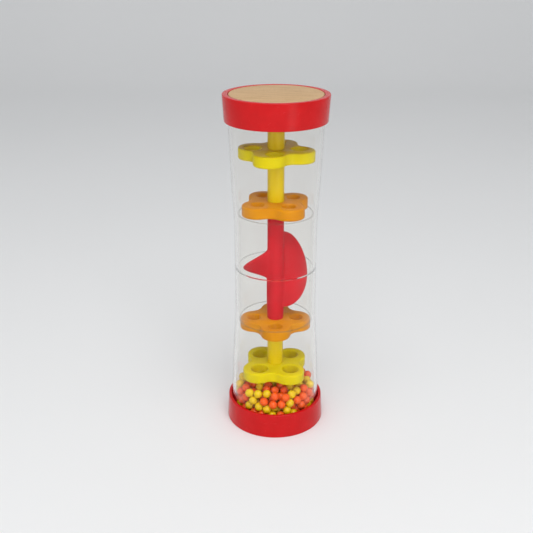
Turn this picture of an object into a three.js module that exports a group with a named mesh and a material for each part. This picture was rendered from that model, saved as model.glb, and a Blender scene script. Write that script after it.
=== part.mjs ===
// A rainstick: a clear flared tube with a red cap on each end. A column of short rods runs up its
// middle and carries four lobed discs with holes and a twisted vane, which hold back the beads
// that fall past them when the stick is turned over. Millimetres, +Z up, origin at the centre of
// the base.
import * as THREE from 'three';
import { mergeVertices } from 'three/addons/utils/BufferGeometryUtils.js';

// The whole stick
const HEIGHT = 200;
const MIDDLE = HEIGHT / 2;
const GAP = 0.3;                 // clearance that fitted neighbours keep

// End caps: a red collar with a wooden disc let into its end
const COLLAR_HEIGHT = 14.8;
const COLLAR_RADIUS = 29.5;      // at the end face
const COLLAR_RIM_RADIUS = 28.6;  // at the rim that faces the tube
const COLLAR_EDGE = 0.5;         // chamfer of the end face
const END_DISC_RADIUS = 26;
const END_DISC_THICKNESS = 5;
const FLOOR_THICKNESS = 3;       // the collar's web, between wooden disc and beads
const FLOOR_TOP = END_DISC_THICKNESS + GAP + FLOOR_THICKNESS;

// Clear tube: two equal halves that meet at mid-height, and the sleeve over their joint
const WAIST_RADIUS = 23.75;
const WAIST_HALF_LENGTH = 28;
const FLARE_RADIUS = 26.5;       // where a half enters its collar
const TUBE_WALL = 1.8;
const SLEEVE_WALL = 1;
const SLEEVE_LIP = 0.3;          // between the sleeve's ends and the orange discs

// Column: rods, discs and vane
const ROD_RADIUS = 4.75;
const TENON_RADIUS = 2.35;
const TENON_LENGTH = 2.7;
const SOCKET_RADIUS = TENON_RADIUS + GAP;
const DISC_THICKNESS = 6.2;
const YELLOW_DISC = {
  offset: 66.8,                  // from mid-height to the disc's centre
  holeCircle: 13,
  holeRadius: 4.9,
  lobeRadius: 9,
  filletRadius: 6,
  turns: { lower: 44, upper: -4 },
  lobeLeans: { lower: -5, upper: -12 },   // of the lobes against their holes, degrees
};
const ORANGE_DISC = {
  offset: 36.5,
  holeCircle: 12.5,
  holeRadius: 3.8,
  lobeRadius: 8.6,
  filletRadius: 7,
  turns: { lower: 0, upper: 35 },
  lobeLeans: { lower: 0, upper: 0 },
};

// Twisted vane: a long and a short blade on opposite sides of the middle rod
const LONG_BLADE = { centre: 97, halfHeight: 22.7, reach: 19.5, taper: 0.5 };     // elliptic
const SHORT_BLADE = { centre: 101.4, halfHeight: 9.7, reach: 19.5, taper: 1.77 }; // a fin
const BLADE_HALF_THICKNESS = 1.7;
const VANE_TURN = 18;            // direction of the long blade at mid-height, degrees
const VANE_TWIST = 1.3;          // degrees for each millimetre of height
const VANE_LEVELS = 32;
const VANE_OUTLINE = 24;         // points round each level

// Beads
const BEAD_RADIUS = 2.575;
const BED_TOP = 20.4;            // of the lower layers, which lie still
const BEAD_REST = BED_TOP + BEAD_RADIUS + 0.1;
const BEAD_RINGS = [
  { count: 12, radius: 19.9, start: -1 },
  { count: 8, radius: YELLOW_DISC.holeCircle, start: YELLOW_DISC.turns.lower },
  { count: 4, radius: 8, start: 21.5 },
];

const ROUND_STEPS = 40;
const ROD_STEPS = 16;
const CURVE_STEPS = 6;           // of each arc of a disc's outline
const BEAD_STEPS = 8;
const FLARE_STEPS = 5;
const WELD = 1e-5;

const RED = { color: 0xc4141c, roughness: 0.22, metalness: 0 };
const VANE_RED = { color: 0xcc2230, roughness: 0.35, metalness: 0 };
const YELLOW = { color: 0xe2cf00, roughness: 0.4, metalness: 0 };
const ORANGE = { color: 0xe8941a, roughness: 0.4, metalness: 0 };
const BEAD_ORANGE = { color: 0xea5a1e, roughness: 0.3, metalness: 0 };
const WOOD = { color: 0xc89a5c, roughness: 0.7, metalness: 0 };
const CLEAR = { color: 0xe6eaea, roughness: 0.08, metalness: 0, transparent: true, opacity: 0.3 };

const stick = new THREE.Group();

/** Welds shared corners and drops the flat triangles that welding leaves at an axis. */
function welded(geometry) {
  geometry.deleteAttribute('normal');
  geometry.deleteAttribute('uv');
  const merged = mergeVertices(geometry, WELD);
  const corners = merged.index.array;
  const kept = [];
  for (let i = 0; i < corners.length; i += 3) {
    const [a, b, c] = corners.slice(i, i + 3);
    if (a !== b && b !== c && c !== a) kept.push(a, b, c);
  }
  merged.setIndex(kept);
  merged.computeVertexNormals();
  return merged;
}

/** Adds a named piece to a group. */
function piece(group, name, geometry, finish) {
  const mesh = new THREE.Mesh(geometry, new THREE.MeshStandardMaterial(finish));
  mesh.name = name;
  group.add(mesh);
  return mesh;
}

/** Turns a closed outline of [radius, height] points about the Z axis. */
function turned(outline, steps = ROUND_STEPS) {
  const points = outline.map(([radius, height]) => new THREE.Vector2(radius, height));
  return welded(new THREE.LatheGeometry(points, steps).rotateX(Math.PI / 2));
}

/** The clear tube's outer radius at a distance from mid-height: straight at the waist, then a
 *  flare halfway between a cone and a quarter of a sine wave. */
function tubeRadius(distance) {
  const span = MIDDLE - COLLAR_HEIGHT - WAIST_HALF_LENGTH;
  const along = THREE.MathUtils.clamp((distance - WAIST_HALF_LENGTH) / span, 0, 1);
  const flare = (along + Math.sin(along * Math.PI / 2)) / 2;
  return WAIST_RADIUS + (FLARE_RADIUS - WAIST_RADIUS) * flare;
}

/** One end of the stick, standing on z = 0: end disc, collar and tube half. */
function makeEnd(prefix) {
  const end = new THREE.Group();
  piece(end, `${prefix}_end_disc`, endDiscShape(), WOOD);
  piece(end, `${prefix}_collar`, collarShape(), RED);
  piece(end, `${prefix}_tube_half`, tubeHalfShape(), CLEAR);
  return end;
}

/** Wooden disc, flush with the end of the stick, with a small chamfer on its outer edge. */
function endDiscShape() {
  const chamfer = 0.4;
  return turned([
    [0, 0],
    [END_DISC_RADIUS - chamfer, 0],
    [END_DISC_RADIUS, chamfer],
    [END_DISC_RADIUS, END_DISC_THICKNESS],
    [0, END_DISC_THICKNESS],
  ]);
}

/** Collar: a drafted ring with a floor across it, a recess for the wooden disc on one side and
 *  the tube's socket on the other. The floor has a socket for the rod. */
function collarShape() {
  const recess = END_DISC_RADIUS + GAP;
  const socket = FLARE_RADIUS + GAP;
  const under = END_DISC_THICKNESS + GAP;
  return turned([
    [SOCKET_RADIUS, under],
    [recess, under],
    [recess, 0],
    [COLLAR_RADIUS - COLLAR_EDGE, 0],
    [COLLAR_RADIUS, COLLAR_EDGE],
    [COLLAR_RIM_RADIUS, COLLAR_HEIGHT],
    [socket, COLLAR_HEIGHT],
    [socket, FLOOR_TOP],
    [SOCKET_RADIUS, FLOOR_TOP],
    [SOCKET_RADIUS, under],
  ]);
}

/** Half of the clear tube, from the collar's floor to just under mid-height. */
function tubeHalfShape() {
  const bottom = FLOOR_TOP + GAP;
  const top = MIDDLE - GAP / 2;
  const outer = [[FLARE_RADIUS, bottom]];
  for (let i = 0; i <= FLARE_STEPS; i++) {
    const height = COLLAR_HEIGHT + (MIDDLE - WAIST_HALF_LENGTH - COLLAR_HEIGHT) * i / FLARE_STEPS;
    outer.push([tubeRadius(MIDDLE - height), height]);
  }
  outer.push([WAIST_RADIUS, top]);
  const inner = outer.map(([radius, height]) => [radius - TUBE_WALL, height]).reverse();
  return turned([...outer, ...inner, outer[0]]);
}

/** Clear sleeve inside the waist, from one orange disc to the other. */
function sleeveShape() {
  const outer = WAIST_RADIUS - TUBE_WALL - GAP / 2;
  const half = ORANGE_DISC.offset - DISC_THICKNESS / 2 - SLEEVE_LIP;
  return turned([
    [outer - SLEEVE_WALL, MIDDLE - half],
    [outer, MIDDLE - half],
    [outer, MIDDLE + half],
    [outer - SLEEVE_WALL, MIDDLE + half],
    [outer - SLEEVE_WALL, MIDDLE - half],
  ]);
}

/** Four round lobes joined by hollow fillets, with a hole in each lobe and a socket for the rods.
 *  The fillet's centre lies on the line between two lobes, a fillet and a lobe radius away. The
 *  lobes lean a little to one side of the holes, by an angle about the axis. */
function discShape(disc, lobeLean) {
  const outline = new THREE.Shape();
  const eighth = Math.PI / 4;
  const reach = disc.filletRadius + disc.lobeRadius;
  const across = disc.holeCircle * Math.sin(eighth);
  const filletDistance = disc.holeCircle * Math.cos(eighth) + Math.sqrt(reach ** 2 - across ** 2);
  const lean = Math.asin(across / reach);          // of the line from fillet to lobe centre
  for (let lobe = 0; lobe < 4; lobe++) {
    const ahead = lobe * 2 * eighth + lobeLean;
    const x = disc.holeCircle * Math.cos(ahead);
    const y = disc.holeCircle * Math.sin(ahead);
    const open = eighth + lean;
    outline.absarc(x, y, disc.lobeRadius, ahead - open, ahead + open, false);
    const between = ahead + eighth;
    const fx = filletDistance * Math.cos(between);
    const fy = filletDistance * Math.sin(between);
    const back = between + Math.PI;
    outline.absarc(fx, fy, disc.filletRadius, back + lean, back - lean, true);
  }
  outline.closePath();
  const socket = new THREE.Path();
  outline.holes.push(socket.absarc(0, 0, SOCKET_RADIUS, 0, 2 * Math.PI, true));
  for (let hole = 0; hole < 4; hole++) {
    const x = disc.holeCircle * Math.cos(hole * 2 * eighth);
    const y = disc.holeCircle * Math.sin(hole * 2 * eighth);
    const path = new THREE.Path();
    outline.holes.push(path.absarc(x, y, disc.holeRadius, 0, 2 * Math.PI, true));
  }
  const options = { depth: DISC_THICKNESS, bevelEnabled: false, curveSegments: CURVE_STEPS };
  const geometry = new THREE.ExtrudeGeometry(outline, options);
  return welded(geometry.translate(0, 0, -DISC_THICKNESS / 2));
}

/** Rod between two heights with a thin tenon at each end. */
function rodShape(bottom, top) {
  return turned([
    [0, bottom - TENON_LENGTH],
    [TENON_RADIUS, bottom - TENON_LENGTH],
    [TENON_RADIUS, bottom],
    [ROD_RADIUS, bottom],
    [ROD_RADIUS, top],
    [TENON_RADIUS, top],
    [TENON_RADIUS, top + TENON_LENGTH],
    [0, top + TENON_LENGTH],
  ], ROD_STEPS);
}

/** How far a blade reaches from the axis at a height. */
function bladeReach(blade, height) {
  const along = (height - blade.centre) / blade.halfHeight;
  const swell = Math.max(0, 1 - along ** 2) ** blade.taper;
  return ROD_RADIUS + (blade.reach - ROD_RADIUS) * swell;
}

/** Crowds the outline's points towards the two blade tips. */
function bladeAngle(angle) {
  return angle - 0.38 * Math.sin(2 * angle);
}

/** Radius of the vane's outline in one direction: a thin bar as long as the two blades are at that
 *  height, softly blended into the round rod. */
function vaneRadius(angle, height) {
  const blade = Math.cos(angle) > 0 ? LONG_BLADE : SHORT_BLADE;
  const across = Math.abs(Math.sin(angle)) / BLADE_HALF_THICKNESS;
  const along = Math.abs(Math.cos(angle)) / bladeReach(blade, height);
  const bar = (across ** 3 + along ** 3) ** (-1 / 3);
  return (bar ** 8 + ROD_RADIUS ** 8) ** (1 / 8);
}

/** The middle rod with its vane: a stack of outlines about the axis, each turned a little further
 *  than the one below, with a plain rod and a tenon at both ends. */
function vaneShape() {
  const half = ORANGE_DISC.offset - DISC_THICKNESS / 2;
  const low = MIDDLE - half;
  const high = MIDDLE + half;
  const rings = [
    { height: low - TENON_LENGTH, radius: TENON_RADIUS },
    { height: low, radius: TENON_RADIUS },
    { height: low, radius: ROD_RADIUS },
  ];
  const bottom = LONG_BLADE.centre - LONG_BLADE.halfHeight;
  const top = LONG_BLADE.centre + LONG_BLADE.halfHeight;
  for (let level = 0; level <= VANE_LEVELS; level++) {
    rings.push({ height: bottom + (top - bottom) * level / VANE_LEVELS });
  }
  rings.push(
    { height: high, radius: ROD_RADIUS },
    { height: high, radius: TENON_RADIUS },
    { height: high + TENON_LENGTH, radius: TENON_RADIUS },
  );
  const positions = [];
  for (const { height, radius } of rings) {
    const twisted = THREE.MathUtils.clamp(height, bottom, top) - MIDDLE;
    const turn = THREE.MathUtils.degToRad(VANE_TURN + VANE_TWIST * twisted);
    for (let i = 0; i < VANE_OUTLINE; i++) {
      const angle = bladeAngle(2 * Math.PI * i / VANE_OUTLINE);
      const reach = radius ?? vaneRadius(angle, height);
      positions.push(reach * Math.cos(angle + turn), reach * Math.sin(angle + turn), height);
    }
  }
  positions.push(0, 0, rings[0].height, 0, 0, rings[rings.length - 1].height);
  return welded(ringsToGeometry(positions, rings.length, VANE_OUTLINE));
}

/** Closes a stack of equal rings, with the two last points as the middles of the end faces. */
function ringsToGeometry(positions, ringCount, around) {
  const faces = [];
  const bottomMiddle = ringCount * around;
  const topMiddle = bottomMiddle + 1;
  for (let i = 0; i < around; i++) {
    const next = (i + 1) % around;
    faces.push(bottomMiddle, next, i);
    for (let ring = 0; ring < ringCount - 1; ring++) {
      const low = ring * around;
      const high = low + around;
      faces.push(low + i, low + next, high + next, low + i, high + next, high + i);
    }
    const last = (ringCount - 1) * around;
    faces.push(topMiddle, last + i, last + next);
  }
  const geometry = new THREE.BufferGeometry();
  geometry.setAttribute('position', new THREE.Float32BufferAttribute(positions, 3));
  geometry.setIndex(faces);
  return geometry;
}

/** The lower layers of beads as one ring-shaped solid, from the floor up round the bottom rod. */
function bedShape() {
  const bottom = FLOOR_TOP + GAP;
  const inner = ROD_RADIUS + GAP;
  const outer = FLARE_RADIUS - TUBE_WALL - GAP;
  return turned([
    [inner, bottom],
    [outer, bottom],
    [outer, COLLAR_HEIGHT],
    [tubeRadius(MIDDLE - BED_TOP) - TUBE_WALL - GAP, BED_TOP],
    [inner, BED_TOP],
    [inner, bottom],
  ]);
}

/** The loose beads of the top layer, in three rings round the rod, in two colours. */
function addBeads(group) {
  let number = 0;
  for (const ring of BEAD_RINGS) {
    for (let i = 0; i < ring.count; i++) {
      number += 1;
      const angle = THREE.MathUtils.degToRad(ring.start + 360 * i / ring.count);
      const name = `bead_${String(number).padStart(2, '0')}`;
      const shape = welded(new THREE.SphereGeometry(BEAD_RADIUS, BEAD_STEPS, 6).rotateX(Math.PI / 2));
      const bead = piece(group, name, shape, number % 2 ? YELLOW : BEAD_ORANGE);
      bead.position.set(ring.radius * Math.cos(angle), ring.radius * Math.sin(angle), BEAD_REST);
    }
  }
}

/** The column: discs at their heights and turns, the rods between them, and the vane. */
function addColumn(group) {
  for (const [side, sign] of [['lower', -1], ['upper', 1]]) {
    for (const [colour, disc, finish] of [
      ['yellow', YELLOW_DISC, YELLOW],
      ['orange', ORANGE_DISC, ORANGE],
    ]) {
      const lobeLean = THREE.MathUtils.degToRad(disc.lobeLeans[side]);
      const mesh = piece(group, `${side}_${colour}_disc`, discShape(disc, lobeLean), finish);
      mesh.position.z = MIDDLE + sign * disc.offset;
      mesh.rotation.z = THREE.MathUtils.degToRad(disc.turns[side]);
    }
  }
  const half = DISC_THICKNESS / 2;
  const yellowFar = YELLOW_DISC.offset + half;
  const yellowNear = YELLOW_DISC.offset - half;
  const orangeFar = ORANGE_DISC.offset + half;
  piece(group, 'bottom_dowel', rodShape(FLOOR_TOP, MIDDLE - yellowFar), YELLOW);
  piece(group, 'lower_middle_dowel', rodShape(MIDDLE - yellowNear, MIDDLE - orangeFar), YELLOW);
  piece(group, 'upper_middle_dowel', rodShape(MIDDLE + orangeFar, MIDDLE + yellowNear), YELLOW);
  piece(group, 'top_dowel', rodShape(MIDDLE + yellowFar, HEIGHT - FLOOR_TOP), YELLOW);
  piece(group, 'twist_vane', vaneShape(), VANE_RED);
}

const lowerEnd = makeEnd('lower');
const upperEnd = makeEnd('upper');
upperEnd.position.z = HEIGHT;
upperEnd.rotation.x = Math.PI;
stick.add(lowerEnd, upperEnd);
piece(stick, 'joining_sleeve', sleeveShape(), CLEAR);
addColumn(stick);
piece(stick, 'bead_bed', bedShape(), YELLOW);
addBeads(stick);

export default stick;
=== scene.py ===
"""A bead rainstick on end: clear flared tube, red caps, lobed discs, twisted vane and beads."""

import math

import bmesh
import bpy
import numpy as np
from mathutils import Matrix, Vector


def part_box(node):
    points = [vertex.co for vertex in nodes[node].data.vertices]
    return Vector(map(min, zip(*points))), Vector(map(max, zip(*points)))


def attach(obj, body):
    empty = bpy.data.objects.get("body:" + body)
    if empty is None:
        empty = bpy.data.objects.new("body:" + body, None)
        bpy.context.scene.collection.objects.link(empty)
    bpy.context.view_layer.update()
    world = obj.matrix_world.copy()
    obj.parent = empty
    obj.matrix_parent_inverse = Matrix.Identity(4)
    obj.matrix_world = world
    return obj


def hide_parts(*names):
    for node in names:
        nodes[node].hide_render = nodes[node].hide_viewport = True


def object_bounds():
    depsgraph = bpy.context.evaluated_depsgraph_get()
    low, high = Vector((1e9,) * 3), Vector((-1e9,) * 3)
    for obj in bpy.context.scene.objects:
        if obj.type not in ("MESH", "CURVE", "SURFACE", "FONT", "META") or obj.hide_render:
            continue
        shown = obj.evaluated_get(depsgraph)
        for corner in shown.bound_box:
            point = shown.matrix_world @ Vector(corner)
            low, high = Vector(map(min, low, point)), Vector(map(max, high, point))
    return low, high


# ---- The frame and the camera -------------------------------------------------------------------
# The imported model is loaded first. The camera stands a good forearm's length in front of the
# stick, a little above its upper cap, and looks down at its middle.
MM = 0.001
CAMERA_PLACE = (-5.28 * MM, -432.5 * MM, 278.9 * MM)
CAMERA_DOWN = math.radians(22.58)
CAMERA_LENS = 53.97
SENSOR_WIDTH = 36.0

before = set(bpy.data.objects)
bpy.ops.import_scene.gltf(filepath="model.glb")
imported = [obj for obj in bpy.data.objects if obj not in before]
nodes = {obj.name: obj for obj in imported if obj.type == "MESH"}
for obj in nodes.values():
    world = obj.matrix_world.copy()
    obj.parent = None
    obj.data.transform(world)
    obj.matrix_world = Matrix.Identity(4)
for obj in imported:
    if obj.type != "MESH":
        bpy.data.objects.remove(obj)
cad_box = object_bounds()
height = cad_box[1].z
middle = height / 2

camera_data = bpy.data.cameras.new("camera")
camera_data.sensor_width = SENSOR_WIDTH
camera_data.lens = CAMERA_LENS
camera_data.clip_start = 0.01
camera = bpy.data.objects.new("camera", camera_data)
camera.location = CAMERA_PLACE
camera.rotation_euler = (math.pi / 2 - CAMERA_DOWN, 0, 0)
bpy.context.scene.collection.objects.link(camera)
bpy.context.scene.camera = camera
bpy.context.scene.view_settings.view_transform = "Standard"


# ---- The studio ---------------------------------------------------------------------------------
# A pale sheet that runs along the floor and curves up behind the stick, a large soft light in
# front and a little to the right, a fill from the left, a small low panel whose mirror image is
# the sheen on the caps, a light overhead and an even sky.
SWEEP_HALF_WIDTH = 2.5
SWEEP_FRONT = -1.6
SWEEP_BACK = 1.1
SWEEP_CURVE = 0.5
SWEEP_TOP = 2.2
SWEEP_STEPS = 24
PAPER_COLOUR = (0.90, 0.90, 0.895, 1)
PAPER_MOTTLE = (0.87, 0.87, 0.865, 1)
SKY_COLOUR = (0.95, 0.97, 1.0, 1)
SKY_STRENGTH = 0.52
MESH_WELD = 1e-7


def new_material(name):
    """An empty node material with its output; returns the material and its node tree."""
    material = bpy.data.materials.new(name)
    material.use_nodes = True
    material.node_tree.nodes.clear()
    material.node_tree.nodes.new("ShaderNodeOutputMaterial")
    return material, material.node_tree


def add_node(tree, kind, sockets=None, **settings):
    """A node of that kind, with settings as its properties and sockets as its input values."""
    node = tree.nodes.new(kind)
    for key, value in settings.items():
        setattr(node, key, value)
    for key, value in (sockets or {}).items():
        node.inputs[key].default_value = value
    return node


def grid_mesh(name, grid, close_rows=False, close_columns=True):
    """A mesh of quads over a grid of points, shape (rows, columns, 3). Closing rows or columns
    joins the last one to the first."""
    rows, columns = grid.shape[:2]
    row = np.arange(rows if close_rows else rows - 1)[:, None]
    column = np.arange(columns if close_columns else columns - 1)[None, :]
    next_row = (row + 1) % rows
    next_column = (column + 1) % columns
    corners = [row * columns + column, row * columns + next_column]
    corners += [next_row * columns + next_column, next_row * columns + column]
    faces = np.stack(corners, axis=-1).reshape(-1, 4)
    mesh = bpy.data.meshes.new(name)
    mesh.from_pydata(grid.reshape(-1, 3).tolist(), [], faces.tolist())
    return mesh


def add_piece(name, mesh, material, crease=35):
    """An object at the origin with that mesh, welded, and smooth but for edges over crease
    degrees."""
    shell = bmesh.new()
    shell.from_mesh(mesh)
    bmesh.ops.remove_doubles(shell, verts=shell.verts, dist=MESH_WELD)
    bmesh.ops.dissolve_degenerate(shell, edges=shell.edges, dist=MESH_WELD / 10)
    shell.to_mesh(mesh)
    shell.free()
    mesh.shade_smooth()
    mesh.set_sharp_from_angle(angle=math.radians(crease))
    mesh.materials.append(material)
    piece = bpy.data.objects.new(name, mesh)
    bpy.context.scene.collection.objects.link(piece)
    return piece


def sweep_material():
    """Matt pale paper with the faintest mottling."""
    material, tree = new_material("studio_paper")
    place = add_node(tree, "ShaderNodeTexCoord")
    mottle = add_node(tree, "ShaderNodeTexNoise", {"Scale": 3.0, "Detail": 2.0})
    tone = add_node(tree, "ShaderNodeMix", data_type="RGBA")
    tone.inputs[6].default_value = PAPER_COLOUR
    tone.inputs[7].default_value = PAPER_MOTTLE
    paper = add_node(tree, "ShaderNodeBsdfPrincipled", {"Roughness": 0.9})
    tree.links.new(place.outputs["Object"], mottle.inputs["Vector"])
    tree.links.new(mottle.outputs["Fac"], tone.inputs[0])
    tree.links.new(tone.outputs[2], paper.inputs["Base Color"])
    tree.links.new(paper.outputs[0], tree.nodes["Material Output"].inputs["Surface"])
    return material


def sweep_mesh():
    """The sheet's section is a floor line, a quarter circle and a wall line, carried along X."""
    turn = np.linspace(0, math.pi / 2, SWEEP_STEPS)
    curve_y = SWEEP_BACK + SWEEP_CURVE * np.sin(turn)
    curve_z = SWEEP_CURVE * (1 - np.cos(turn))
    section_y = np.concatenate([[SWEEP_FRONT], curve_y, [SWEEP_BACK + SWEEP_CURVE]])
    section_z = np.concatenate([[0], curve_z, [SWEEP_TOP]])
    side = np.array([SWEEP_HALF_WIDTH, -SWEEP_HALF_WIDTH])
    grid = np.zeros((len(section_y), 2, 3))
    grid[..., 0] = side[None, :]
    grid[..., 1] = section_y[:, None]
    grid[..., 2] = section_z[:, None]
    return grid_mesh("studio_sweep", grid, close_columns=False)


def add_light(name, place, target, size, watts, colour=(1, 1, 1)):
    """A rectangular soft light at place, facing target; size is its width and height."""
    lamp = bpy.data.lights.new(name, "AREA")
    lamp.shape = "RECTANGLE"
    lamp.size, lamp.size_y = size
    lamp.energy = watts
    lamp.color = colour
    holder = bpy.data.objects.new(name, lamp)
    holder.location = place
    aim = np.array(target) - np.array(place)
    pitch = math.acos(-aim[2] / np.linalg.norm(aim))
    holder.rotation_euler = (pitch, 0, math.atan2(-aim[0], aim[1]))
    bpy.context.scene.collection.objects.link(holder)
    return holder


add_piece("studio_sweep", sweep_mesh(), sweep_material())
add_light("key_light", (0.32, -1.05, 0.50), (0, 0, 0.1), (0.8, 0.6), 2.2)
add_light("fill_light", (-0.85, -0.55, 0.45), (0, 0, 0.1), (0.7, 0.7), 1.0)
add_light("strip_light", (0.19, -0.29, 0.06), (0, 0, 0.16), (0.11, 0.20), 0.06)
add_light("top_light", (0.05, -0.5, 1.0), (0, 0, 0.1), (0.8, 0.8), 5.6)
sky = bpy.data.worlds.new("studio_sky")
sky.use_nodes = True
sky_light = sky.node_tree.nodes["Background"]
sky_light.inputs["Color"].default_value = SKY_COLOUR
sky_light.inputs["Strength"].default_value = SKY_STRENGTH
bpy.context.scene.world = sky


# ---- End discs ----------------------------------------------------------------------------------
# Each cap is closed by a turned disc of pale beech, let into the red collar flush with its end.
# The wood is oiled, so the grain shows as fine streaks across the face.
DISC_EDGE = 0.5 * MM
WOOD_LIGHT = (0.66, 0.44, 0.23, 1)
WOOD_DARK = (0.50, 0.30, 0.13, 1)
WOOD_FLECK = (0.62, 0.58, 0.52, 1)
ROUND_STEPS = 128


def rounded(corners, radius, steps=4):
    """A closed outline of [radius, height] corners with each one cut by an arc: a quadratic curve
    from a point before the corner to one after it, with the corner as its middle control. A cut
    takes less than half of either side, and a corner on the axis stays sharp."""
    corners = np.array(corners, float)
    before = np.roll(corners, 1, axis=0) - corners
    after = np.roll(corners, -1, axis=0) - corners
    before_length = np.linalg.norm(before, axis=1, keepdims=True)
    after_length = np.linalg.norm(after, axis=1, keepdims=True)
    cut = np.minimum(radius, np.minimum(before_length, after_length) * 0.45)
    cut = np.where(corners[:, :1] < 1e-9, 0, cut)
    first = corners + before / before_length * cut
    last = corners + after / after_length * cut
    share = np.linspace(0, 1, steps + 1)[None, :, None]
    curve = first[:, None] * (1 - share) ** 2 + last[:, None] * share**2
    curve = curve + 2 * corners[:, None] * share * (1 - share)
    return curve.reshape(-1, 2)


def turned_mesh(name, outline, steps=ROUND_STEPS):
    """A closed outline of [radius, height] points turned about Z: x and y are the radius times the
    cosine and sine of the angle. The outline runs anticlockwise, so that the faces point out."""
    radius, level = outline[:, 0], outline[:, 1]
    area = np.sum(radius * np.roll(level, -1) - np.roll(radius, -1) * level)
    if area < 0:
        radius, level = radius[::-1], level[::-1]
    angle = np.linspace(0, 2 * math.pi, steps, endpoint=False)
    grid = np.zeros((len(radius), steps, 3))
    grid[..., 0] = radius[:, None] * np.cos(angle)
    grid[..., 1] = radius[:, None] * np.sin(angle)
    grid[..., 2] = level[:, None]
    return grid_mesh(name, grid, close_rows=True)


def upended(outline):
    """The same outline for the other end of the stick."""
    return np.stack([outline[:, 0], height - outline[:, 1]], axis=1)


def wood_material():
    """Oiled beech: long noise streaks along X for the grain, short dark flecks, a low bump."""
    material, tree = new_material("natural_beech")
    place = add_node(tree, "ShaderNodeTexCoord")
    stretch = add_node(tree, "ShaderNodeMapping", {"Scale": (60, 900, 900)})
    fleck_stretch = add_node(tree, "ShaderNodeMapping", {"Scale": (500, 3500, 3500)})
    grain = add_node(tree, "ShaderNodeTexNoise", {"Scale": 1.0, "Detail": 5.0, "Distortion": 0.6})
    fleck = add_node(tree, "ShaderNodeTexNoise", {"Scale": 1.0, "Detail": 2.0})
    tone = add_node(tree, "ShaderNodeValToRGB")
    tone.color_ramp.elements[0].position = 0.32
    tone.color_ramp.elements[0].color = WOOD_DARK
    tone.color_ramp.elements[1].position = 0.62
    tone.color_ramp.elements[1].color = WOOD_LIGHT
    spots = add_node(tree, "ShaderNodeValToRGB")
    spots.color_ramp.elements[0].position = 0.30
    spots.color_ramp.elements[0].color = WOOD_FLECK
    spots.color_ramp.elements[1].position = 0.40
    both = add_node(tree, "ShaderNodeMix", data_type="RGBA", blend_type="MULTIPLY")
    both.inputs[0].default_value = 1.0
    rough = add_node(tree, "ShaderNodeMapRange", {"To Min": 0.45, "To Max": 0.68})
    relief = add_node(tree, "ShaderNodeBump", {"Strength": 0.25, "Distance": 0.0002})
    wood = add_node(tree, "ShaderNodeBsdfPrincipled")
    tree.links.new(place.outputs["Object"], stretch.inputs["Vector"])
    tree.links.new(place.outputs["Object"], fleck_stretch.inputs["Vector"])
    tree.links.new(stretch.outputs[0], grain.inputs["Vector"])
    tree.links.new(fleck_stretch.outputs[0], fleck.inputs["Vector"])
    tree.links.new(grain.outputs["Fac"], tone.inputs[0])
    tree.links.new(fleck.outputs["Fac"], spots.inputs[0])
    tree.links.new(tone.outputs[0], both.inputs[6])
    tree.links.new(spots.outputs[0], both.inputs[7])
    tree.links.new(both.outputs[2], wood.inputs["Base Color"])
    tree.links.new(grain.outputs["Fac"], rough.inputs[0])
    tree.links.new(rough.outputs[0], wood.inputs["Roughness"])
    tree.links.new(grain.outputs["Fac"], relief.inputs["Height"])
    tree.links.new(relief.outputs[0], wood.inputs["Normal"])
    tree.links.new(wood.outputs[0], tree.nodes["Material Output"].inputs["Surface"])
    return material


end_disc_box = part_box("lower_end_disc")
end_disc_radius = end_disc_box[1].x
end_disc_top = end_disc_box[1].z
end_disc_outline = rounded(
    [[0, 0], [end_disc_radius, 0], [end_disc_radius, end_disc_top], [0, end_disc_top]],
    DISC_EDGE,
)
beech = wood_material()
for side, outline in (("lower", end_disc_outline), ("upper", upended(end_disc_outline))):
    piece = add_piece(f"{side}_beech_disc", turned_mesh(f"{side}_beech_disc", outline), beech)
    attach(piece, "root")
    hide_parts(f"{side}_end_disc")


# ---- Collars ------------------------------------------------------------------------------------
# The red collar is a glossy ring with a slight draft. Its floor carries the rod's socket on one
# side of the cap and closes the bead chamber; the tube's flared end is glued into the ring.
FIT = 0.3 * MM
FLOOR_THICKNESS = 3 * MM
COLLAR_RIM_RADIUS = 28.6 * MM
TUBE_END_RADIUS = 26.5 * MM
ROD_SOCKET_RADIUS = 2.65 * MM
COLLAR_EDGE = 0.55 * MM
CAP_RED = (0.61, 0.0060, 0.0080, 1)
CAP_RED_DEEP = (0.55, 0.0050, 0.0065, 1)


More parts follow.
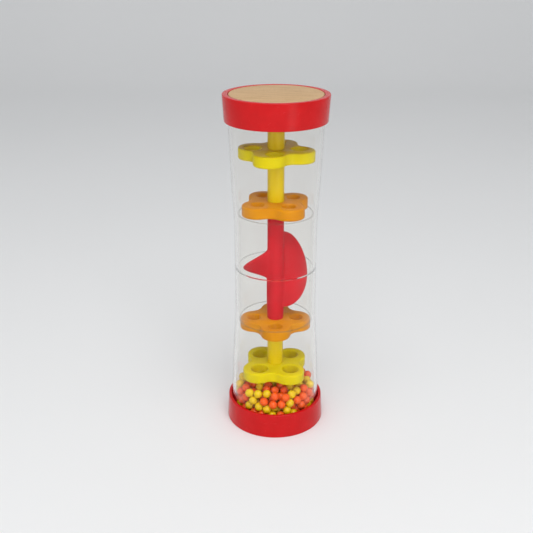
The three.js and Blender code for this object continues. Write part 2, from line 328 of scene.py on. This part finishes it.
def gloss_material(name, colour, deep, roughness, grain=(140, 140, 140), relief=0.04, shine=0.3):
    """Glossy paint or plastic: two close tones in soft noise, a roughness that wanders, fine
    hairline scuffs in it, and a faint orange-peel bump. Grain stretches the soft noise."""
    material, tree = new_material(name)
    place = add_node(tree, "ShaderNodeTexCoord")
    stretch = add_node(tree, "ShaderNodeMapping", {"Scale": grain})
    cloud = add_node(tree, "ShaderNodeTexNoise", {"Scale": 1.0, "Detail": 4.0})
    peel = add_node(tree, "ShaderNodeTexNoise", {"Scale": 1400.0, "Detail": 1.0})
    scuff_turn = add_node(tree, "ShaderNodeMapping", {"Scale": (160, 2600, 700)})
    scuff_turn.inputs["Rotation"].default_value = (0.4, 0.9, 0.5)
    scuff = add_node(tree, "ShaderNodeTexNoise", {"Scale": 1.0, "Detail": 3.0, "Distortion": 0.3})
    scuff_cut = add_node(tree, "ShaderNodeMapRange", {"From Min": 0.60, "From Max": 0.74})
    scuff_cut.inputs["To Max"].default_value = 0.14
    tone = add_node(tree, "ShaderNodeMix", data_type="RGBA")
    tone.inputs[6].default_value = deep
    tone.inputs[7].default_value = colour
    spread = add_node(tree, "ShaderNodeMapRange", {"From Min": 0.35, "From Max": 0.65})
    base_rough = add_node(tree, "ShaderNodeMapRange")
    base_rough.inputs["To Min"].default_value = roughness * 0.8
    base_rough.inputs["To Max"].default_value = roughness * 1.25
    rough = add_node(tree, "ShaderNodeMath", operation="ADD")
    bump = add_node(tree, "ShaderNodeBump", {"Strength": relief, "Distance": 0.0002})
    paint = add_node(tree, "ShaderNodeBsdfPrincipled", {"IOR": 1.49})
    paint.inputs["Specular IOR Level"].default_value = shine
    tree.links.new(place.outputs["Object"], stretch.inputs["Vector"])
    tree.links.new(place.outputs["Object"], peel.inputs["Vector"])
    tree.links.new(place.outputs["Object"], scuff_turn.inputs["Vector"])
    tree.links.new(stretch.outputs[0], cloud.inputs["Vector"])
    tree.links.new(scuff_turn.outputs[0], scuff.inputs["Vector"])
    tree.links.new(scuff.outputs["Fac"], scuff_cut.inputs[0])
    tree.links.new(cloud.outputs["Fac"], spread.inputs[0])
    tree.links.new(spread.outputs[0], tone.inputs[0])
    tree.links.new(tone.outputs[2], paint.inputs["Base Color"])
    tree.links.new(cloud.outputs["Fac"], base_rough.inputs[0])
    tree.links.new(base_rough.outputs[0], rough.inputs[0])
    tree.links.new(scuff_cut.outputs[0], rough.inputs[1])
    tree.links.new(rough.outputs[0], paint.inputs["Roughness"])
    tree.links.new(peel.outputs["Fac"], bump.inputs["Height"])
    tree.links.new(bump.outputs[0], paint.inputs["Normal"])
    tree.links.new(paint.outputs[0], tree.nodes["Material Output"].inputs["Surface"])
    return material


collar_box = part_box("lower_collar")
collar_radius = collar_box[1].x
collar_top = collar_box[1].z
floor_under = end_disc_top + FIT
floor_top = floor_under + FLOOR_THICKNESS
collar_outline = rounded(
    [
        [ROD_SOCKET_RADIUS, floor_under],
        [end_disc_radius + FIT, floor_under],
        [end_disc_radius + FIT, 0],
        [collar_radius, 0],
        [COLLAR_RIM_RADIUS, collar_top],
        [TUBE_END_RADIUS + FIT, collar_top],
        [TUBE_END_RADIUS + FIT, floor_top],
        [ROD_SOCKET_RADIUS, floor_top],
    ],
    COLLAR_EDGE,
)
red_gloss = gloss_material("red_gloss", CAP_RED, CAP_RED_DEEP, roughness=0.19, shine=0.22)
for side, outline in (("lower", collar_outline), ("upper", upended(collar_outline))):
    piece = add_piece(f"{side}_red_collar", turned_mesh(f"{side}_red_collar", outline), red_gloss)
    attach(piece, "root")
    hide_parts(f"{side}_collar")


# ---- Rods ---------------------------------------------------------------------------------------
# Four yellow lacquered dowels carry the discs. Each has a thin tenon at both ends, glued into the
# sockets of the pieces above and below it. Faint long grain shows through the lacquer.
TENON_RADIUS = 2.35 * MM
TENON_LENGTH = 2.7 * MM
ROD_EDGE = 0.35 * MM
ROD_YELLOW = (0.76, 0.58, 0.0020, 1)
ROD_YELLOW_DEEP = (0.70, 0.50, 0.0015, 1)
ROD_STEPS = 64


def rod_outline(bottom, top, radius):
    """Half the section of a rod from bottom to top, tenons included, from axis to axis."""
    return rounded(
        [
            [0, bottom],
            [TENON_RADIUS, bottom],
            [TENON_RADIUS, bottom + TENON_LENGTH],
            [radius, bottom + TENON_LENGTH],
            [radius, top - TENON_LENGTH],
            [TENON_RADIUS, top - TENON_LENGTH],
            [TENON_RADIUS, top],
            [0, top],
        ],
        ROD_EDGE,
    )


yellow_lacquer = gloss_material(
    "yellow_rod_lacquer",
    ROD_YELLOW,
    ROD_YELLOW_DEEP,
    roughness=0.30,
    grain=(900, 900, 60),
    relief=0.06,
)
for name in ("bottom_dowel", "lower_middle_dowel", "upper_middle_dowel", "top_dowel"):
    low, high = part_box(name)
    mesh = turned_mesh(f"{name}_rod", rod_outline(low.z, high.z, high.x), ROD_STEPS)
    piece = add_piece(f"{name}_rod", mesh, yellow_lacquer)
    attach(piece, "root")
    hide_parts(name)


# ---- Lobed discs --------------------------------------------------------------------------------
# Four plates hold the beads back: two yellow ones with wide holes towards the ends and two orange
# ones with narrower holes at the waist. Each has four round lobes with soft hollows between them,
# a hole in each lobe and rounded edges, and is painted a satin colour. On the yellow ones the
# lobes lean a few degrees to one side of their holes.
PLATE_EDGE = 0.7 * MM
PLATE_EDGE_STEPS = 3
LOBE_STEPS = 28
HOLLOW_STEPS = 14
HOLE_STEPS = 40
PLATE_YELLOW = (0.70, 0.59, 0.0015, 1)
PLATE_YELLOW_DEEP = (0.65, 0.53, 0.0012, 1)
PLATE_ORANGE = (0.67, 0.270, 0.0020, 1)
PLATE_ORANGE_DEEP = (0.62, 0.230, 0.0015, 1)
PLATE_FINISH = {"roughness": 0.36, "shine": 0.1}
YELLOW_PLATE = {"hole_circle": 13 * MM, "hole": 4.9 * MM, "lobe": 9 * MM, "hollow": 6 * MM}
ORANGE_PLATE = {"hole_circle": 12.5 * MM, "hole": 3.8 * MM, "lobe": 8.6 * MM, "hollow": 7 * MM}


def lobed_outline(hole_circle, lobe, hollow, turn):
    """Four convex arcs about centres on the hole circle, joined by four concave ones. A hollow's
    centre lies midway between two lobes, one hollow and one lobe radius from both centres."""
    eighth = math.pi / 4
    across = hole_circle * math.sin(eighth)
    reach = lobe + hollow
    hollow_distance = hole_circle * math.cos(eighth) + math.sqrt(reach**2 - across**2)
    lean = math.asin(across / reach)
    ahead = turn + np.arange(4)[:, None] * 2 * eighth
    lobe_angle = ahead + np.linspace(-(eighth + lean), eighth + lean, LOBE_STEPS)[None, :]
    between = ahead + eighth
    hollow_angle = between + math.pi + np.linspace(lean, -lean, HOLLOW_STEPS)[None, :]
    lobe_x = hole_circle * np.cos(ahead) + lobe * np.cos(lobe_angle)
    lobe_y = hole_circle * np.sin(ahead) + lobe * np.sin(lobe_angle)
    hollow_x = hollow_distance * np.cos(between) + hollow * np.cos(hollow_angle)
    hollow_y = hollow_distance * np.sin(between) + hollow * np.sin(hollow_angle)
    x = np.concatenate([lobe_x, hollow_x[:, 1:-1]], axis=1).ravel()
    y = np.concatenate([lobe_y, hollow_y[:, 1:-1]], axis=1).ravel()
    return np.stack([x, y], axis=1)


def ring_outline(x, y, radius, steps=HOLE_STEPS):
    """A circle about a point."""
    angle = np.linspace(0, 2 * math.pi, steps, endpoint=False)
    return np.stack([x + radius * np.cos(angle), y + radius * np.sin(angle)], axis=1)


def plate_mesh(name, outlines, low, high):
    """A flat curve of the outlines, filled between them, given the plate's thickness with rounded
    edges, made a mesh and lifted to its place."""
    flat = bpy.data.curves.new(name, "CURVE")
    flat.dimensions = "2D"
    flat.fill_mode = "BOTH"
    flat.extrude = (high - low) / 2 - PLATE_EDGE
    flat.bevel_depth = PLATE_EDGE
    flat.bevel_resolution = PLATE_EDGE_STEPS
    flat.offset = -PLATE_EDGE
    for outline in outlines:
        spline = flat.splines.new("POLY")
        spline.points.add(len(outline) - 1)
        points = np.zeros((len(outline), 4))
        points[:, :2] = outline
        points[:, 3] = 1
        spline.points.foreach_set("co", points.ravel())
        spline.use_cyclic_u = True
    holder = bpy.data.objects.new(name, flat)
    bpy.context.scene.collection.objects.link(holder)
    seen = holder.evaluated_get(bpy.context.evaluated_depsgraph_get())
    mesh = bpy.data.meshes.new_from_object(seen)
    bpy.data.objects.remove(holder)
    points = np.zeros(len(mesh.vertices) * 3)
    mesh.vertices.foreach_get("co", points)
    points = points.reshape(-1, 3)
    points[:, 2] += (low + high) / 2
    mesh.vertices.foreach_set("co", points.ravel())
    return mesh


yellow_paint = gloss_material(
    "yellow_plate_paint", PLATE_YELLOW, PLATE_YELLOW_DEEP, **PLATE_FINISH
)
orange_paint = gloss_material(
    "orange_plate_paint", PLATE_ORANGE, PLATE_ORANGE_DEEP, **PLATE_FINISH
)
for name, sizes, turn, lean, paint in (
    ("lower_yellow_disc", YELLOW_PLATE, 44, -5, yellow_paint),
    ("lower_orange_disc", ORANGE_PLATE, 0, 0, orange_paint),
    ("upper_orange_disc", ORANGE_PLATE, 35, 0, orange_paint),
    ("upper_yellow_disc", YELLOW_PLATE, -4, -12, yellow_paint),
):
    low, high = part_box(name)
    start = math.radians(turn)
    lobe_start = math.radians(turn + lean)
    circle = sizes["hole_circle"]
    outlines = [lobed_outline(circle, sizes["lobe"], sizes["hollow"], lobe_start)]
    outlines.append(ring_outline(0, 0, ROD_SOCKET_RADIUS))
    for quarter in range(4):
        angle = start + quarter * math.pi / 2
        hole_x, hole_y = circle * math.cos(angle), circle * math.sin(angle)
        outlines.append(ring_outline(hole_x, hole_y, sizes["hole"]))
    piece = add_piece(f"{name}_plate", plate_mesh(f"{name}_plate", outlines, low.z, high.z), paint)
    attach(piece, "root")
    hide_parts(name)


# ---- Vane ---------------------------------------------------------------------------------------
# The red rod of the waist has a long rounded blade and a short fin on opposite sides, moulded in
# one piece with it. The blades twist as they rise, so that falling beads are swept round.
ROD_RADIUS = 4.75 * MM
LONG_BLADE = {"centre": 97 * MM, "half": 22.7 * MM, "reach": 19.5 * MM, "taper": 0.5}
SHORT_BLADE = {"centre": 101.4 * MM, "half": 9.7 * MM, "reach": 19.5 * MM, "taper": 1.77}
BLADE_HALF_THICKNESS = 1.7 * MM
VANE_TURN = math.radians(18)
VANE_TWIST = math.radians(1.3) / MM
VANE_LEVELS = 150
VANE_LEVEL_CROWDING = 0.12
VANE_OUTLINE = 120
VANE_OUTLINE_CROWDING = 0.38
BAR_POWER = 3
BLEND_POWER = 8
VANE_RED = (0.60, 0.014, 0.024, 1)
VANE_RED_DEEP = (0.52, 0.010, 0.018, 1)


def blade_reach(blade, level):
    """How far a blade stands out at each height: the swell between its two ends is an ellipse for
    a taper of a half, and a fin with hollow flanks for a larger one."""
    along = (level - blade["centre"]) / blade["half"]
    swell = np.maximum(0, 1 - along**2) ** blade["taper"]
    return ROD_RADIUS + (blade["reach"] - ROD_RADIUS) * swell


def vane_mesh(bottom, top):
    """A stack of outlines about the axis. In each, the radius is that of a thin rounded bar as long
    as the blades there, blended softly into the rod's circle, and the outline is turned in
    proportion to its height. The bar is a superellipse, and the blend is the power mean of bar
    and circle. Levels crowd towards the blades' ends and points towards their edges. Rings of the
    tenon's radius close the stack."""
    low = LONG_BLADE["centre"] - LONG_BLADE["half"]
    high = LONG_BLADE["centre"] + LONG_BLADE["half"]
    share = np.linspace(0, 1, VANE_LEVELS)
    share = share - VANE_LEVEL_CROWDING * np.sin(2 * math.pi * share) / math.pi
    level = low + (high - low) * share
    angle = np.linspace(0, 2 * math.pi, VANE_OUTLINE, endpoint=False)
    angle = angle - VANE_OUTLINE_CROWDING * np.sin(2 * angle)
    long_side = np.cos(angle)[None, :] > 0
    reach = np.where(
        long_side, blade_reach(LONG_BLADE, level)[:, None], blade_reach(SHORT_BLADE, level)[:, None]
    )
    across = np.abs(np.sin(angle))[None, :] / BLADE_HALF_THICKNESS
    along = np.abs(np.cos(angle))[None, :] / reach
    bar = (across**BAR_POWER + along**BAR_POWER) ** (-1 / BAR_POWER)
    blended = (bar**BLEND_POWER + ROD_RADIUS**BLEND_POWER) ** (1 / BLEND_POWER)
    foot, head = bottom + TENON_LENGTH, top - TENON_LENGTH
    ends = [(bottom, 0), (bottom, TENON_RADIUS), (foot, TENON_RADIUS), (foot, ROD_RADIUS)]
    heads = [(head, ROD_RADIUS), (head, TENON_RADIUS), (top, TENON_RADIUS), (top, 0)]
    round_ring = np.ones(VANE_OUTLINE)
    radius = [size * round_ring for _, size in ends]
    radius = radius + list(blended) + [size * round_ring for _, size in heads]
    levels = [place for place, _ in ends] + list(level) + [place for place, _ in heads]
    radius, levels = np.array(radius), np.array(levels)[:, None]
    turned = angle[None, :] + VANE_TURN + VANE_TWIST * (np.clip(levels, low, high) - middle)
    grid = np.zeros(radius.shape + (3,))
    grid[..., 0] = radius * np.cos(turned)
    grid[..., 1] = radius * np.sin(turned)
    grid[..., 2] = levels
    return grid_mesh("red_vane", grid)


vane_low, vane_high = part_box("twist_vane")
red_satin = gloss_material("red_vane_satin", VANE_RED, VANE_RED_DEEP, roughness=0.5, shine=0.1)
piece = add_piece("red_vane", vane_mesh(vane_low.z, vane_high.z), red_satin, crease=50)
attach(piece, "root")
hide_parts("twist_vane")


# ---- Beads --------------------------------------------------------------------------------------
# Round beads five millimetres across, half of them yellow and half orange-red, fill the lower end
# as high as the yellow plate. The fill lies in a loose heap; the beads of its top layer that can
# rise on their own are separate pieces on bodies of their own.
FILL_COUNT = 215
FILL_SEED = 7
COLOUR_SEED = 11
YELLOW_SHARE = 0.38
SETTLE_ROUNDS = 260
SETTLE_PUSH = 0.8
SETTLE_SINK = 0.03 * MM
BEAD_ACROSS_STEPS = 12
BEAD_DOWN_STEPS = 8
BEAD_YELLOW = (0.76, 0.54, 0.0025, 1)
BEAD_YELLOW_DEEP = (0.68, 0.44, 0.0020, 1)
BEAD_ORANGE = (0.80, 0.105, 0.0070, 1)
BEAD_ORANGE_DEEP = (0.75, 0.080, 0.0060, 1)

loose_names = sorted(name for name in nodes if name.startswith("bead_") and name != "bead_bed")
loose_boxes = [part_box(name) for name in loose_names]
loose_centres = np.array([(low + high) / 2 for low, high in loose_boxes])
bead_radius = (loose_boxes[0][1].z - loose_boxes[0][0].z) / 2
bed_low, bed_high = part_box("bead_bed")


def settle(count, fixed, seed):
    """Places for the heap's beads: random starts, then rounds in which each pair that overlaps is
    pushed apart along its line of centres, everything sinks a little, and the floor, the tube
    wall, the rod and the layer's top hold the heap in. Fixed beads push but do not move."""
    draw = np.random.default_rng(seed)
    inner = ROD_RADIUS + bead_radius
    outer = bed_high.x - bead_radius
    lowest = bed_low.z + bead_radius
    highest = fixed[0, 2]
    angle = draw.uniform(0, 2 * math.pi, count)
    out = np.sqrt(draw.uniform(inner**2, outer**2, count))
    level = draw.uniform(lowest, highest, count)
    place = np.stack([out * np.cos(angle), out * np.sin(angle), level], axis=1)
    for turn in range(SETTLE_ROUNDS):
        everything = np.concatenate([place, fixed])
        gap = place[:, None] - everything[None, :]
        distance = np.linalg.norm(gap, axis=2) + 1e-9
        overlap = np.clip(2 * bead_radius - distance, 0, None)
        overlap[np.arange(count), np.arange(count)] = 0
        share = np.where(np.arange(len(everything)) < count, 0.5, 1.0)[None, :]
        push = gap / distance[..., None] * (overlap * share)[..., None]
        place = place + SETTLE_PUSH * push.sum(axis=1)
        place[:, 2] -= SETTLE_SINK * (1 - turn / SETTLE_ROUNDS)
        out = np.hypot(place[:, 0], place[:, 1]) + 1e-9
        place[:, :2] *= (np.clip(out, inner, outer) / out)[:, None]
        place[:, 2] = np.clip(place[:, 2], lowest, highest)
    return place


def bead_mesh(name, centres):
    """Round shells about the centres: rings of latitude between two poles, all beads at once."""
    down = np.linspace(0, math.pi, BEAD_DOWN_STEPS + 1)[1:-1]
    angle = np.linspace(0, 2 * math.pi, BEAD_ACROSS_STEPS, endpoint=False)
    ring = np.zeros((len(down), BEAD_ACROSS_STEPS, 3))
    ring[..., 0] = np.sin(down)[:, None] * np.cos(angle)
    ring[..., 1] = np.sin(down)[:, None] * np.sin(angle)
    ring[..., 2] = np.cos(down)[:, None]
    shell = np.concatenate([ring.reshape(-1, 3), [[0, 0, 1], [0, 0, -1]]]) * bead_radius
    points = (centres[:, None] + shell[None]).reshape(-1, 3)
    row = np.arange(len(down) - 1)[:, None] * BEAD_ACROSS_STEPS
    column = np.arange(BEAD_ACROSS_STEPS)[None, :]
    after = (column + 1) % BEAD_ACROSS_STEPS
    low_row = row + BEAD_ACROSS_STEPS
    quads = np.stack([row + column, low_row + column, low_row + after, row + after], axis=-1)
    top, base = len(shell) - 2, (len(down) - 1) * BEAD_ACROSS_STEPS
    cap = np.stack([column[0], after[0], np.full(BEAD_ACROSS_STEPS, top)], axis=1)
    foot = np.full(BEAD_ACROSS_STEPS, top + 1)
    cup = np.stack([base + after[0], base + column[0], foot], axis=1)
    shift = np.arange(len(centres))[:, None, None] * len(shell)
    quads = (quads.reshape(1, -1, 4) + shift).reshape(-1, 4).tolist()
    threes = (np.concatenate([cap, cup])[None] + shift).reshape(-1, 3).tolist()
    mesh = bpy.data.meshes.new(name)
    mesh.from_pydata(points.tolist(), [], quads + threes)
    return mesh


yellow_gloss = gloss_material("yellow_bead_gloss", BEAD_YELLOW, BEAD_YELLOW_DEEP, roughness=0.24)
orange_gloss = gloss_material("orange_bead_gloss", BEAD_ORANGE, BEAD_ORANGE_DEEP, roughness=0.22)
bead_paints = {"yellow": yellow_gloss, "orange": orange_gloss}
heap = settle(FILL_COUNT, loose_centres, FILL_SEED)
heap_is_yellow = np.random.default_rng(COLOUR_SEED).random(len(heap)) < YELLOW_SHARE
for colour, chosen in (("yellow", heap_is_yellow), ("orange", ~heap_is_yellow)):
    mesh = bead_mesh(f"{colour}_bead_heap", heap[chosen])
    piece = add_piece(f"{colour}_bead_heap", mesh, bead_paints[colour], crease=80)
    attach(piece, "root")
    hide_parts("bead_bed")
for number, (name, centre) in enumerate(zip(loose_names, loose_centres), start=1):
    colour = "yellow" if number % 2 else "orange"
    mesh = bead_mesh(f"{name}_ball", centre[None])
    piece = add_piece(f"{name}_ball", mesh, bead_paints[colour], crease=80)
    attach(piece, name)
    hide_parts(name)


# ---- Tube and sleeve ----------------------------------------------------------------------------
# Two equal halves of clear plastic meet at mid-height. Each is straight at the waist and flares
# softly towards its collar. A thin clear sleeve inside the waist bridges the joint, and its ends
# show as fine rings at the orange plates.
WAIST_RADIUS = 23.75 * MM
WAIST_HALF_LENGTH = 28 * MM
TUBE_WALL = 1.8 * MM
TUBE_EDGE = 0.06 * MM
JOINT_GAP = 0.03 * MM
SLEEVE_WALL = 1 * MM
FLARE_STEPS = 24
CLEAR_TINT = (0.985, 0.978, 0.962, 1)
CLEAR_SHEEN = (0.3, 0.3, 0.3, 1)
FILM_TINT = (0.997, 0.996, 0.993, 1)
CUT_END_GREY = (0.16, 0.13, 0.11, 1)
CUT_END_OPACITY = 0.28
CUT_END_START = 0.35 * MM
CUT_END_FULL = 0.1 * MM
CLEAR_INDEX = 1.3


def flare(level):
    """The tube's outer radius at a height: the waist's radius plus a share that is the mean of a
    straight cone and a quarter of a sine wave."""
    span = middle - collar_top - WAIST_HALF_LENGTH
    along = np.clip((np.abs(level - middle) - WAIST_HALF_LENGTH) / span, 0, 1)
    share = (along + np.sin(along * math.pi / 2)) / 2
    return WAIST_RADIUS + (TUBE_END_RADIUS - WAIST_RADIUS) * share


def clear_material():
    """Clear plastic with a hint of grey. Light for the pieces inside passes straight through it.
    Noise gives the surface a few dull handling marks."""
    material, tree = new_material("clear_plastic")
    place = add_node(tree, "ShaderNodeTexCoord")
    smear = add_node(tree, "ShaderNodeTexNoise", {"Scale": 90.0, "Detail": 5.0})
    rough = add_node(tree, "ShaderNodeMapRange", {"From Min": 0.45, "From Max": 0.75})
    rough.inputs["To Min"].default_value = 0.0
    rough.inputs["To Max"].default_value = 0.012
    plastic = add_node(tree, "ShaderNodeBsdfPrincipled", {"Base Color": CLEAR_TINT})
    plastic.inputs["IOR"].default_value = CLEAR_INDEX
    plastic.inputs["Transmission Weight"].default_value = 1.0
    plastic.inputs["Specular Tint"].default_value = CLEAR_SHEEN
    through = add_node(tree, "ShaderNodeBsdfTransparent", {"Color": CLEAR_TINT})
    ray = add_node(tree, "ShaderNodeLightPath")
    either = add_node(tree, "ShaderNodeMixShader")
    tree.links.new(place.outputs["Object"], smear.inputs["Vector"])
    tree.links.new(smear.outputs["Fac"], rough.inputs[0])
    tree.links.new(rough.outputs[0], plastic.inputs["Roughness"])
    tree.links.new(ray.outputs["Is Shadow Ray"], either.inputs[0])
    tree.links.new(plastic.outputs[0], either.inputs[1])
    tree.links.new(through.outputs[0], either.inputs[2])
    tree.links.new(either.outputs[0], tree.nodes["Material Output"].inputs["Surface"])
    return material


def sleeve_material(low, high):
    """A clear film: mostly see-through with a weak sheen, and its two cut ends, found by their
    height, a faint grey that shows them as rings."""
    material, tree = new_material("clear_sleeve_film")
    place = add_node(tree, "ShaderNodeTexCoord")
    parts = add_node(tree, "ShaderNodeSeparateXYZ")
    smear = add_node(tree, "ShaderNodeTexNoise", {"Scale": 120.0, "Detail": 4.0})
    rough = add_node(tree, "ShaderNodeMapRange", {"To Min": 0.02, "To Max": 0.12})
    centred = add_node(tree, "ShaderNodeMath", operation="SUBTRACT")
    centred.inputs[1].default_value = (low + high) / 2
    away = add_node(tree, "ShaderNodeMath", operation="ABSOLUTE")
    cut = add_node(tree, "ShaderNodeMapRange")
    cut.inputs["From Min"].default_value = (high - low) / 2 - CUT_END_START
    cut.inputs["From Max"].default_value = (high - low) / 2 - CUT_END_FULL
    cut.inputs["To Max"].default_value = CUT_END_OPACITY
    facing = add_node(tree, "ShaderNodeLayerWeight", {"Blend": 0.5})
    steep = add_node(tree, "ShaderNodeMath", operation="POWER")
    steep.inputs[1].default_value = 5.0
    sheen = add_node(tree, "ShaderNodeMapRange", {"To Min": 0.004, "To Max": 0.35})
    through = add_node(tree, "ShaderNodeBsdfTransparent", {"Color": FILM_TINT})
    gloss = add_node(tree, "ShaderNodeBsdfGlossy", {"Color": (0.9, 0.9, 0.9, 1)})
    film = add_node(tree, "ShaderNodeMixShader")
    edge = add_node(tree, "ShaderNodeBsdfPrincipled", {"Base Color": CUT_END_GREY})
    edge.inputs["Roughness"].default_value = 0.35
    whole = add_node(tree, "ShaderNodeMixShader")
    tree.links.new(place.outputs["Object"], parts.inputs[0])
    tree.links.new(place.outputs["Object"], smear.inputs["Vector"])
    tree.links.new(smear.outputs["Fac"], rough.inputs[0])
    tree.links.new(rough.outputs[0], gloss.inputs["Roughness"])
    tree.links.new(parts.outputs["Z"], centred.inputs[0])
    tree.links.new(centred.outputs[0], away.inputs[0])
    tree.links.new(away.outputs[0], cut.inputs[0])
    tree.links.new(facing.outputs["Facing"], steep.inputs[0])
    tree.links.new(steep.outputs[0], sheen.inputs[0])
    tree.links.new(sheen.outputs[0], film.inputs[0])
    tree.links.new(through.outputs[0], film.inputs[1])
    tree.links.new(gloss.outputs[0], film.inputs[2])
    tree.links.new(cut.outputs[0], whole.inputs[0])
    tree.links.new(film.outputs[0], whole.inputs[1])
    tree.links.new(edge.outputs[0], whole.inputs[2])
    tree.links.new(whole.outputs[0], tree.nodes["Material Output"].inputs["Surface"])
    return material


def tube_outline():
    """Section of the lower half: up the outside from the collar's floor, back down the inside."""
    low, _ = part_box("lower_tube_half")
    joint = middle - JOINT_GAP
    level = np.linspace(collar_top, middle - WAIST_HALF_LENGTH, FLARE_STEPS)
    outside = np.stack([flare(level), level], axis=1)
    foot = [[TUBE_END_RADIUS, low.z + TUBE_EDGE]]
    head = [[WAIST_RADIUS, joint - TUBE_EDGE], [WAIST_RADIUS - TUBE_EDGE, joint]]
    outer = np.concatenate([foot, outside, head])
    inner_head = [[WAIST_RADIUS - TUBE_WALL, joint]]
    inside = (outside - [TUBE_WALL, 0])[::-1]
    inner_foot = [[TUBE_END_RADIUS - TUBE_WALL, low.z], [TUBE_END_RADIUS - TUBE_EDGE, low.z]]
    return np.concatenate([outer, inner_head, inside, inner_foot])


clear = clear_material()
for side, outline in (("lower", tube_outline()), ("upper", upended(tube_outline()))):
    piece = add_piece(f"{side}_clear_tube", turned_mesh(f"{side}_clear_tube", outline), clear)
    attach(piece, "root")
    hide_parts(f"{side}_tube_half")
sleeve_low, sleeve_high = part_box("joining_sleeve")
sleeve_radius = sleeve_high.x
sleeve_outline = rounded(
    [
        [sleeve_radius - SLEEVE_WALL, sleeve_low.z],
        [sleeve_radius, sleeve_low.z],
        [sleeve_radius, sleeve_high.z],
        [sleeve_radius - SLEEVE_WALL, sleeve_high.z],
    ],
    TUBE_EDGE,
)
film = sleeve_material(sleeve_low.z, sleeve_high.z)
piece = add_piece("clear_sleeve", turned_mesh("clear_sleeve", sleeve_outline), film)
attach(piece, "root")
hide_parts("joining_sleeve")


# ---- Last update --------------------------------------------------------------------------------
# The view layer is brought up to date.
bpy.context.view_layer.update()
